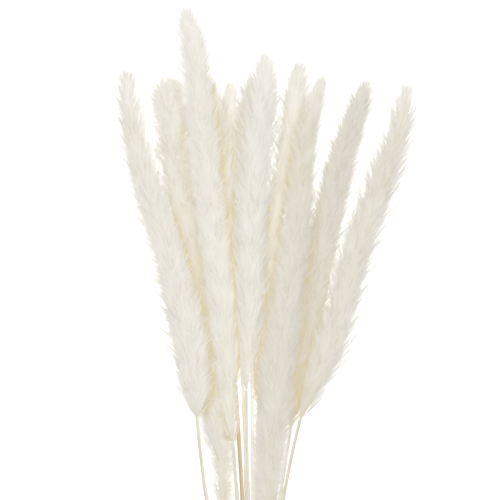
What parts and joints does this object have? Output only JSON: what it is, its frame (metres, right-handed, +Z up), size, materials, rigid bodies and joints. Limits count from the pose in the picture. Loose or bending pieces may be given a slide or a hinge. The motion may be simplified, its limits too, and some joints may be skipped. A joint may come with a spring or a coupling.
{
  "type": "bunch of bleached pampas grass",
  "caption": "Tied bunch of bleached pampas grass lying flat: slim straw stems fan out from a twine tie and end in long, narrow, feathery cream plumes.",
  "frame": {"origin": "on the surface that the bunch lies on, under the middle of its bounding box", "axes": "+Y from the cut ends towards the plumes' tips, +Z up from the surface, +X to the right as seen from above"},
  "size_m": [0.2676, 0.6974, 0.0786],
  "materials": {
    "stem": "dry, smooth, faintly glossy straw",
    "plume": "soft, matt, bleached cream",
    "twine": "rough, matt, natural fibre"
  },
  "bodies": {
    "root": {"stem_01": "stem", "stem_02": "stem", "stem_03": "stem", "stem_04": "stem", "stem_05": "stem", "stem_06": "stem", "stem_07": "stem", "stem_08": "stem", "stem_09": "stem", "stem_10": "stem", "stem_11": "stem", "plume_01": "plume", "plume_02": "plume", "plume_03": "plume", "plume_04": "plume", "plume_05": "plume", "plume_06": "plume", "plume_07": "plume", "plume_08": "plume", "plume_09": "plume", "plume_10": "plume", "plume_11": "plume", "tie": "twine"}
  },
  "joints": []
}
